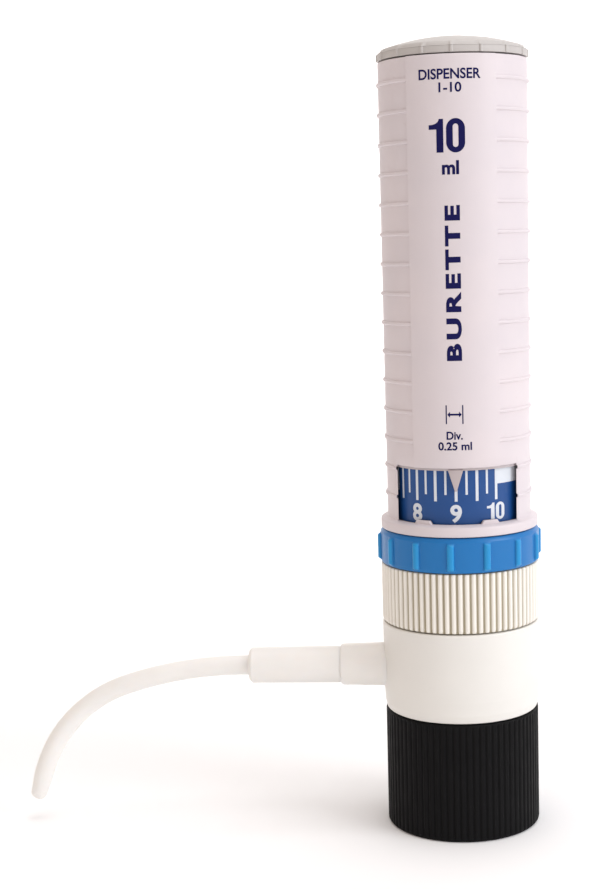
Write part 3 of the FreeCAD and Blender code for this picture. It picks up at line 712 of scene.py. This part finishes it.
def housing():
    """Shell on a grid of azimuths and heights, with the window and its inner lip left open."""
    azimuths, heights = housing_azimuths(), housing_heights()
    bm = bmesh.new()

    def deep_layer(radius):
        return [[bm.verts.new(at(radius, inward_azimuth(a, radius), z)) for z in heights]
                for a in azimuths]

    outer = [[bm.verts.new(at(housing_radius(a, z), a, z)) for z in heights] for a in azimuths]
    step = deep_layer(LIP_R)
    inner = deep_layer(HOUSING_BORE_R)
    columns, rows = len(azimuths), len(heights) - 1

    def cell_middle(i, j):
        following = azimuths[i + 1] if i + 1 < columns else azimuths[0] + 360
        return (azimuths[i] + following) / 2, (heights[j] + heights[j + 1]) / 2

    def opens_outside(i, j):
        a, z = cell_middle(i, j)
        return WINDOW_LEFT < a < WINDOW_RIGHT and WINDOW_BOTTOM < z < WINDOW_TOP

    def opens_inside(i, j):
        a, z = cell_middle(i, j)
        return WINDOW_LEFT < a < WINDOW_RIGHT and WINDOW_BOTTOM < z < WINDOW_TOP - LIP

    def quad(grid, i, j):
        k = (i + 1) % columns
        bm.faces.new([grid[i][j], grid[k][j], grid[k][j + 1], grid[i][j + 1]])

    def wall(one, two, i, j, way):
        k = (i + 1) % columns
        ends = {"left": ((i, j), (i, j + 1)), "right": ((k, j), (k, j + 1)),
                "below": ((i, j), (k, j)), "above": ((i, j + 1), (k, j + 1))}[way]
        (a, b), (c, d) = ends
        bm.faces.new([one[a][b], one[c][d], two[c][d], two[a][b]])

    for i in range(columns):
        for j in range(rows):
            out_open, in_open = opens_outside(i, j), opens_inside(i, j)
            if not out_open:
                quad(outer, i, j)
            elif not in_open:
                quad(step, i, j)
            if not in_open:
                quad(inner, i, j)
            sides = {"left": ((i - 1) % columns, j), "right": ((i + 1) % columns, j),
                     "below": (i, j - 1), "above": (i, j + 1)}
            for way, (p, q) in sides.items():
                if not 0 <= q < rows:
                    continue
                if out_open and not opens_outside(p, q):
                    if opens_inside(i, j) and not opens_inside(p, q):
                        wall(outer, inner, i, j, way)
                    else:
                        wall(outer, step, i, j, way)
                elif in_open and not opens_inside(p, q):
                    wall(step, inner, i, j, way)
        k = (i + 1) % columns
        for j in (0, rows):
            bm.faces.new([outer[i][j], outer[k][j], inner[k][j], inner[i][j]])
    loose = [v for v in bm.verts if not v.link_faces]
    bmesh.ops.delete(bm, geom=loose, context="VERTS")
    piece = make_object("housing_shell", bm, "plunger", HOUSING_WHITE, sharp=38)
    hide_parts("housing")
    return piece


def bevelled_prism(outline, azimuth, inner, outer, bevel):
    """Prism on the housing from an outline of (arc length, z), its outer edges rounded."""
    bm = bmesh.new()

    def corner(s, z, radius):
        return bm.verts.new(at(radius, azimuth + math.degrees(s / HOUSING_R), z))

    back = [corner(s, z, inner) for s, z in outline]
    front = [corner(s, z, outer) for s, z in outline]
    count = len(outline)
    bm.faces.new(back)
    top = bm.faces.new(list(reversed(front)))
    for i in range(count):
        k = (i + 1) % count
        bm.faces.new([back[i], back[k], front[k], front[i]])
    bmesh.ops.bevel(bm, geom=list(top.edges), offset=bevel * MM, segments=3, profile=0.6,
                    affect="EDGES")
    return bm


def pointer():
    """Wedge that hangs down from the window's lip and points at the set volume."""
    half, tip, face_r = 2.05, 0.28, 19.85
    top = WINDOW_TOP - LIP + 0.3
    outline = [(-half, top), (-half, top - 0.4), (-tip, POINTER_TIP_Z), (tip, POINTER_TIP_Z),
               (half, top - 0.4), (half, top)]
    bm = bevelled_prism(outline, POINTER_AZIMUTH, HOUSING_BORE_R + 0.1, face_r, 0.18)
    return make_object("scale_pointer", bm, "plunger", POINTER_PAINTED_SHADE)


def sill_tabs():
    """Two small tabs that rise from the window's sill."""
    low = WINDOW_BOTTOM - 0.4
    shoulder, top = low + 0.5, low + 1.4
    foot_half, top_half, face_r = 2.7, 2.1, 20.2
    outline = [(-foot_half, low), (-foot_half, shoulder), (-top_half, top), (top_half, top),
               (foot_half, shoulder), (foot_half, low)]
    pieces = []
    for name, azimuth in (("sill_tab_left", -30.0), ("sill_tab_right", 25.8)):
        bm = bevelled_prism(outline, azimuth, HOUSING_BORE_R + 0.05, face_r, 0.2)
        pieces.append(make_object(name, bm, "plunger", HOUSING_WHITE))
    return pieces


# ---- top cap ----------------------------------------------------------------------------------
CAP_RIBS = 16
CAP_RIB_AZIMUTH = -0.5
CAP_RIB_HALF_WIDTH = 0.45
CAP_BORE_R = 17.3
CAP_SPIGOT_R = 18.8
CAP_THICKNESS = 3.4
CAP_DOME_R = 19.8


def top_cap():
    """Low domed cap with a ribbed rim, and its spigot in the housing, coloured near-black as painted
    shade in the gap under the rim.
    """
    rim_top = CAP_BOTTOM + 2.45

    def change(azimuth, r, z):
        if r < CAP_R - 0.7 or z > rim_top - 0.1:
            return r
        across = rib_across(azimuth, CAP_RIBS, CAP_RIB_AZIMUTH, CAP_R, CAP_RIB_HALF_WIDTH)
        if across >= 1:
            return r - 0.2 * smooth_step((rim_top - 0.15 - z) / 0.3)
        return r + 0.16 * (1 - across ** 3) * smooth_step((rim_top - 0.1 - z) / 0.3)

    side = [(CAP_R, z) for z in spread(CAP_BOTTOM + 0.3, rim_top - 0.6, 0.4)]
    shoulder = rim_top + 0.3
    rise = CAP_TOP - shoulder
    dome = [(CAP_DOME_R * (1 - t), shoulder + rise * (1 - (1 - t) ** 2))
            for t in spread(0.02, 1.0, 0.06)]
    outline = rounded([
        (CAP_BORE_R, CAP_BOTTOM + 0.05), (CAP_R, CAP_BOTTOM + 0.05, 0.2), *side,
        (CAP_R, rim_top - 0.6), (CAP_R, rim_top, 0.35),
    ]) + dome + [(0.0, CAP_TOP), (0.0, CAP_TOP - CAP_THICKNESS), (CAP_BORE_R, CAP_BOTTOM + 1.4)]
    half = math.degrees(CAP_RIB_HALF_WIDTH / CAP_R) * 1.05
    azimuths = rib_azimuths(CAP_RIBS, CAP_RIB_AZIMUTH, half, fine=8, coarse=2.8)
    piece = make_object("top_cap_shell", spun(outline, azimuths, change),
                        "plunger", CAP_WHITE, sharp=50)
    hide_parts("top_cap")
    # the spigot's near-black colour is painted shade seen through the gap under the rim
    low, high = CAP_BOTTOM - 5.0, CAP_BOTTOM + 0.4
    spigot = [(CAP_BORE_R, low), (CAP_SPIGOT_R, low), (CAP_SPIGOT_R, high), (CAP_BORE_R, high)]
    return piece, make_object("top_cap_spigot", spun(spigot, even_azimuths(96)),
                              "plunger", GAP_PAINTED_SHADE)


# ---- scale drum and its print -----------------------------------------------------------------
def scale_drum():
    outline = rounded([
        (DRUM_BORE_R, DRUM_BOTTOM), (DRUM_R, DRUM_BOTTOM), (DRUM_R, DRUM_TOP, 0.4),
        (DRUM_BORE_R, DRUM_TOP, 0.4),
    ])
    piece = make_object("scale_drum_shell", spun(outline, even_azimuths(200)),
                        "selector", DRUM_BLUE_PAINTED_SHADE)
    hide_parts("scale_drum")
    return piece


CLICKS_PER_ML = 4
FIRST_VOLUME, LAST_VOLUME = 1, 10
MARK_TOP = 107.0
BLOCK_BOTTOM = 101.7
LONG_MARK_BOTTOM = 97.35
SHORT_MARK_BOTTOM = 99.2
LONG_MARK_HALF_WIDTH = 0.4
SHORT_MARK_HALF_WIDTH = 0.31
INK = 0.03                   # how far printing stands proud
INK_BACK = 0.05              # how far it reaches into the surface
DIGIT_BOTTOM = 91.75
DIGIT_HEIGHT = 4.75
TEN_LENGTH = 5.8


def volume_azimuth(volume):
    return POINTER_AZIMUTH + (volume - SET_VOLUME) * DEG_PER_ML


def scale_print():
    """A mark for each click, long at every second one, a block after the last, and the numbers."""
    bm = bmesh.new()
    back = DRUM_R - INK_BACK
    for click in range(FIRST_VOLUME * CLICKS_PER_ML, LAST_VOLUME * CLICKS_PER_ML + 1):
        middle = volume_azimuth(click / CLICKS_PER_ML)
        half_width, bottom = SHORT_MARK_HALF_WIDTH, SHORT_MARK_BOTTOM
        if click % 2 == 0:
            half_width, bottom = LONG_MARK_HALF_WIDTH, LONG_MARK_BOTTOM
        half = math.degrees(half_width / DRUM_R)
        curved_slab(bm, back, DRUM_R + INK, bottom, MARK_TOP, middle - half, middle + half)
    start = volume_azimuth(LAST_VOLUME)
    end = volume_azimuth(LAST_VOLUME + 1) - 1.2
    curved_slab(bm, back, DRUM_R + INK * 0.8, BLOCK_BOTTOM, MARK_TOP, start, end)
    marks = make_object("scale_marks", bm, "selector", WHITE_INK)
    numbers = []
    for volume in range(FIRST_VOLUME, LAST_VOLUME + 1):
        length = TEN_LENGTH if volume == 10 else None
        numbers.append(printed(f"scale_number_{volume}", str(volume), DIGIT_HEIGHT, DRUM_R,
                               volume_azimuth(volume) - 0.2, DIGIT_BOTTOM, "selector",
                               WHITE_INK, 0.045, length))
    return [marks] + numbers


FONT_CAPITALS = 0.729        # height of the built-in font's capitals at size 1


def font_outline(words, bold, spacing):
    """Flat mesh of the words, with capitals one unit high, starting at x = 0."""
    curve = bpy.data.curves.new(words, "FONT")
    curve.body = words
    curve.size = 1.0 / FONT_CAPITALS
    curve.offset = bold
    curve.space_character = spacing
    curve.resolution_u = 6
    holder = bpy.data.objects.new(words, curve)
    bpy.context.scene.collection.objects.link(holder)
    bpy.context.view_layer.update()
    flat = bpy.data.meshes.new_from_object(holder)
    bpy.data.objects.remove(holder)
    bm = bmesh.new()
    bm.from_mesh(flat)
    bpy.data.meshes.remove(flat)
    return bm


# Outline of the digit 1, one unit high
ONE = ((0.22, 0.0), (0.42, 0.0), (0.42, 1.0), (0.30, 1.0), (0.27, 0.92), (0.2, 0.86), (0.1, 0.83),
       (0.0, 0.825), (0.0, 0.69), (0.22, 0.69))
ONE_WIDTH = 0.50
ZERO_WIDTH = 0.54
ZERO_HALF_HEIGHT = 0.51
ZERO_STROKE = 0.19
ZERO_BEND_STRETCH = 1.15     # height of the zero's round ends, as a part of their width
ZERO_STEPS = 32
DIGIT_GAP = 0.08


def numeral_outline(words):
    """Flat mesh of a number made of the digits 1 and 0, in an upright condensed bold shape."""
    bm = bmesh.new()
    start = 0.0
    for digit in words:
        if digit == "1":
            bm.faces.new([bm.verts.new((x + start, y, 0)) for x, y in ONE])
            start += ONE_WIDTH
            continue
        middle, loops = start + ZERO_WIDTH / 2, []
        for inset in (0.0, ZERO_STROKE):
            half_x, half_y = ZERO_WIDTH / 2 - inset, ZERO_HALF_HEIGHT - inset * 0.85
            bend = half_x * ZERO_BEND_STRETCH
            loop = []
            for step in range(ZERO_STEPS):
                angle = math.radians(360.0 * (step + 0.5) / ZERO_STEPS)
                y = math.sin(angle) * bend
                y += math.copysign(half_y - bend, y)
                loop.append(bm.verts.new((middle + math.cos(angle) * half_x, 0.5 + y, 0)))
            loops.append(loop)
        for step in range(ZERO_STEPS):
            k = (step + 1) % ZERO_STEPS
            bm.faces.new([loops[0][step], loops[0][k], loops[1][k], loops[1][step]])
        start += ZERO_WIDTH + DIGIT_GAP
    return bm


def printed(name, words, height, radius, azimuth, bottom, body, material, bold=0.0,
            length=None, upright=True, spacing=1.0):
    """Words printed on a cylinder. height is the capitals' height in millimetres; upright words
    read round the cylinder, the others read upwards along it. length is the line's length."""
    own_shapes = set(words) <= {"0", "1"}
    bm = numeral_outline(words) if own_shapes else font_outline(words, bold, spacing)
    bmesh.ops.remove_doubles(bm, verts=bm.verts, dist=1e-5)
    xs = [v.co.x for v in bm.verts]
    centre = (min(xs) + max(xs)) / 2
    stretch = length / ((max(xs) - min(xs)) * height) if length else 1.0
    for v in bm.verts:
        x, y = (v.co.x - centre) * height * stretch, v.co.y * height
        v.co = Vector((x, y, 0)) if upright else Vector((-y + height / 2, x, 0))
    span = [v.co.x for v in bm.verts]
    for cut in spread(min(span), max(span), 0.6)[1:]:
        bmesh.ops.bisect_plane(bm, geom=list(bm.verts) + list(bm.edges) + list(bm.faces),
                               plane_co=(cut, 0, 0), plane_no=(1, 0, 0))
    bmesh.ops.triangulate(bm, faces=bm.faces)
    solid = bmesh.ops.extrude_face_region(bm, geom=list(bm.faces), use_keep_orig=True)
    raised = {g for g in solid["geom"] if isinstance(g, bmesh.types.BMVert)}
    for v in bm.verts:
        r = radius + (INK if v in raised else -INK_BACK)
        v.co = at(r, azimuth + math.degrees(v.co.x / radius), bottom + v.co.y)
    return make_object(name, bm, body, material)


PANEL_PRINT = (
    # name, words, height, azimuth, bottom, bold, length
    ("print_title", "DISPENSER", 2.65, -2.1, 209.35, 0.03, 16.6),
    ("print_range", "1-10", 2.5, -1.8, 206.0, 0.03, 6.0),
    ("print_capacity", "10", 8.6, -4.6, 190.6, 0.0, 9.6),
    ("print_unit", "ml", 3.5, -2.3, 185.1, 0.05, 4.5),
    ("print_division", "Div.", 2.2, -2.4, 114.8, 0.035, 4.4),
    ("print_division_value", "0.25 ml", 2.2, -2.2, 111.9, 0.035, 9.2),
)


def panel_print():
    pieces = []
    for name, words, height, azimuth, bottom, bold, length in PANEL_PRINT:
        pieces.append(printed(name, words, height, PANEL_R, azimuth, bottom, "plunger",
                              NAVY_INK, bold, length))
    pieces.append(printed("print_kind", "BURETTE", 3.85, PANEL_R, -1.9, 156.5, "plunger",
                          NAVY_INK, 0.06, 41.0, False, 1.3))
    pieces.append(stroke_symbol())
    return pieces


def stroke_symbol():
    """Double arrow between two bars: a plain sign for the set stroke."""
    bm = bmesh.new()
    inner, outer = PANEL_R - INK_BACK, PANEL_R + INK
    low, middle, high = 119.0, 121.55, 124.1
    bar_half, line_half, arrow_half = 0.45, 0.25, 0.8
    for azimuth in (-8.4, 3.9):
        curved_slab(bm, inner, outer, low, high, azimuth - bar_half, azimuth + bar_half)
    curved_slab(bm, inner, outer, middle - line_half, middle + line_half, -7.2, 2.7)
    for tip, base in ((-7.6, -5.6), (3.1, 1.1)):
        corners = [(tip, middle), (base, middle + arrow_half), (base, middle - arrow_half)]
        if base < tip:
            corners.reverse()
        front = [bm.verts.new(at(outer, a, z)) for a, z in corners]
        back = [bm.verts.new(at(inner, a, z)) for a, z in corners]
        bm.faces.new(front)
        bm.faces.new(list(reversed(back)))
        for i in range(3):
            k = (i + 1) % 3
            bm.faces.new([front[i], back[i], back[k], front[k]])
    return make_object("print_stroke_symbol", bm, "plunger", NAVY_INK)


# ---- studio -----------------------------------------------------------------------------------
def studio():
    """Pale floor that curves up behind the object, a soft warm-to-cool world and three lamps."""
    floor_material = bpy.data.materials.new("pale_floor")
    floor_material.use_nodes = True
    shader = floor_material.node_tree.nodes["Principled BSDF"]
    shader.inputs["Base Color"].default_value = (0.95, 0.95, 0.95, 1)
    shader.inputs["Roughness"].default_value = 0.9
    bm = bmesh.new()
    size, bend = 3.0, 0.6
    bend_start = size * 0.4
    outline = [(-size, 0.0), (bend_start, 0.0)]
    outline += [(bend_start + bend * math.sin(a), bend * (1 - math.cos(a)))
                for a in (math.radians(d) for d in range(10, 91, 10))]
    outline.append((bend_start + bend, size))
    rows = [[bm.verts.new((x, y, z)) for x in (-size, size)] for y, z in outline]
    for one, two in zip(rows, rows[1:]):
        bm.faces.new([one[0], one[1], two[1], two[0]])
    mesh = bpy.data.meshes.new("floor")
    bm.to_mesh(mesh)
    bm.free()
    mesh.shade_smooth()
    mesh.materials.append(floor_material)
    floor = bpy.data.objects.new("floor", mesh)
    bpy.context.scene.collection.objects.link(floor)

    world = bpy.data.worlds.new("studio")
    bpy.context.scene.world = world
    world.use_nodes = True
    nodes, links = world.node_tree.nodes, world.node_tree.links
    place = nodes.new("ShaderNodeTexCoord")
    split = nodes.new("ShaderNodeSeparateXYZ")
    links.new(place.outputs["Generated"], split.inputs["Vector"])
    across = nodes.new("ShaderNodeMapRange")
    across.inputs["From Min"].default_value = -0.9
    across.inputs["From Max"].default_value = 0.9
    links.new(split.outputs["X"], across.inputs["Value"])
    ramp = nodes.new("ShaderNodeValToRGB")
    left, right = ramp.color_ramp.elements
    left.color = (0.68, 0.565, 0.48, 1)
    right.color = (1.0, 1.0, 1.05, 1)
    links.new(across.outputs["Result"], ramp.inputs["Fac"])
    background = nodes["Background"]
    links.new(ramp.outputs["Color"], background.inputs["Color"])
    background.inputs["Strength"].default_value = 0.92
    bpy.context.scene.view_settings.view_transform = "Standard"

    lights = (
        # name, place, target, size, power, colour
        ("key", (0.85, -0.45, 0.5), (0, 0, 0.11), 0.6, 4.2, (0.96, 0.97, 1.0)),
        ("top", (0.1, 0.0, 1.1), (0, 0, 0.11), 0.8, 3.6, (1.0, 1.0, 1.0)),
        ("backdrop", (0.0, 0.45, 1.0), (0, 1.8, 0.5), 1.0, 14.0, (1.0, 1.0, 1.0)),
    )
    for name, place, target, size, power, colour in lights:
        lamp = bpy.data.lights.new(name, "AREA")
        lamp.shape = "DISK"
        lamp.size = size
        lamp.energy = power
        lamp.color = colour
        holder = bpy.data.objects.new(name, lamp)
        holder.location = place
        aim = Vector(target) - Vector(place)
        holder.rotation_euler = aim.to_track_quat("-Z", "Y").to_euler()
        bpy.context.scene.collection.objects.link(holder)


CAMERA_DISTANCE = 453.4      # from the main axis, in millimetres
CAMERA_HEIGHT = 169.9
CAMERA_YAW, CAMERA_PITCH, CAMERA_ROLL = -3.913, 10.410, -1.613
CAMERA_LENS = 65.0
CAMERA_SHIFT = (-0.0578, 0.0966)


def camera():
    """Camera in front of the object, turned a little to its outlet's side and tilted down."""
    yaw, pitch, roll = (math.radians(d) for d in (CAMERA_YAW, CAMERA_PITCH, CAMERA_ROLL))
    forward = Vector((math.sin(yaw) * math.cos(pitch), math.cos(yaw) * math.cos(pitch),
                      -math.sin(pitch)))
    right = Vector((math.cos(yaw), -math.sin(yaw), 0))
    up = right.cross(forward)
    right, up = (right * math.cos(roll) + up * math.sin(roll),
                 up * math.cos(roll) - right * math.sin(roll))
    data = bpy.data.cameras.new("camera")
    data.lens = CAMERA_LENS
    data.sensor_width = 36.0
    data.shift_x, data.shift_y = CAMERA_SHIFT
    data.clip_start = 0.01
    holder = bpy.data.objects.new("camera", data)
    turn = Matrix((right, up, -forward)).transposed()
    place = Vector((0, -CAMERA_DISTANCE, CAMERA_HEIGHT)) * MM
    holder.matrix_world = Matrix.Translation(place) @ turn.to_4x4()
    bpy.context.scene.collection.objects.link(holder)
    bpy.context.scene.camera = holder


dress_cad_nodes()
bottle_ring()
lock_ring()
selector_ring()
base_body()
outlet_pieces()
jet_tube()
housing()
pointer()
sill_tabs()
top_cap()
scale_drum()
scale_print()
panel_print()
studio()
camera()
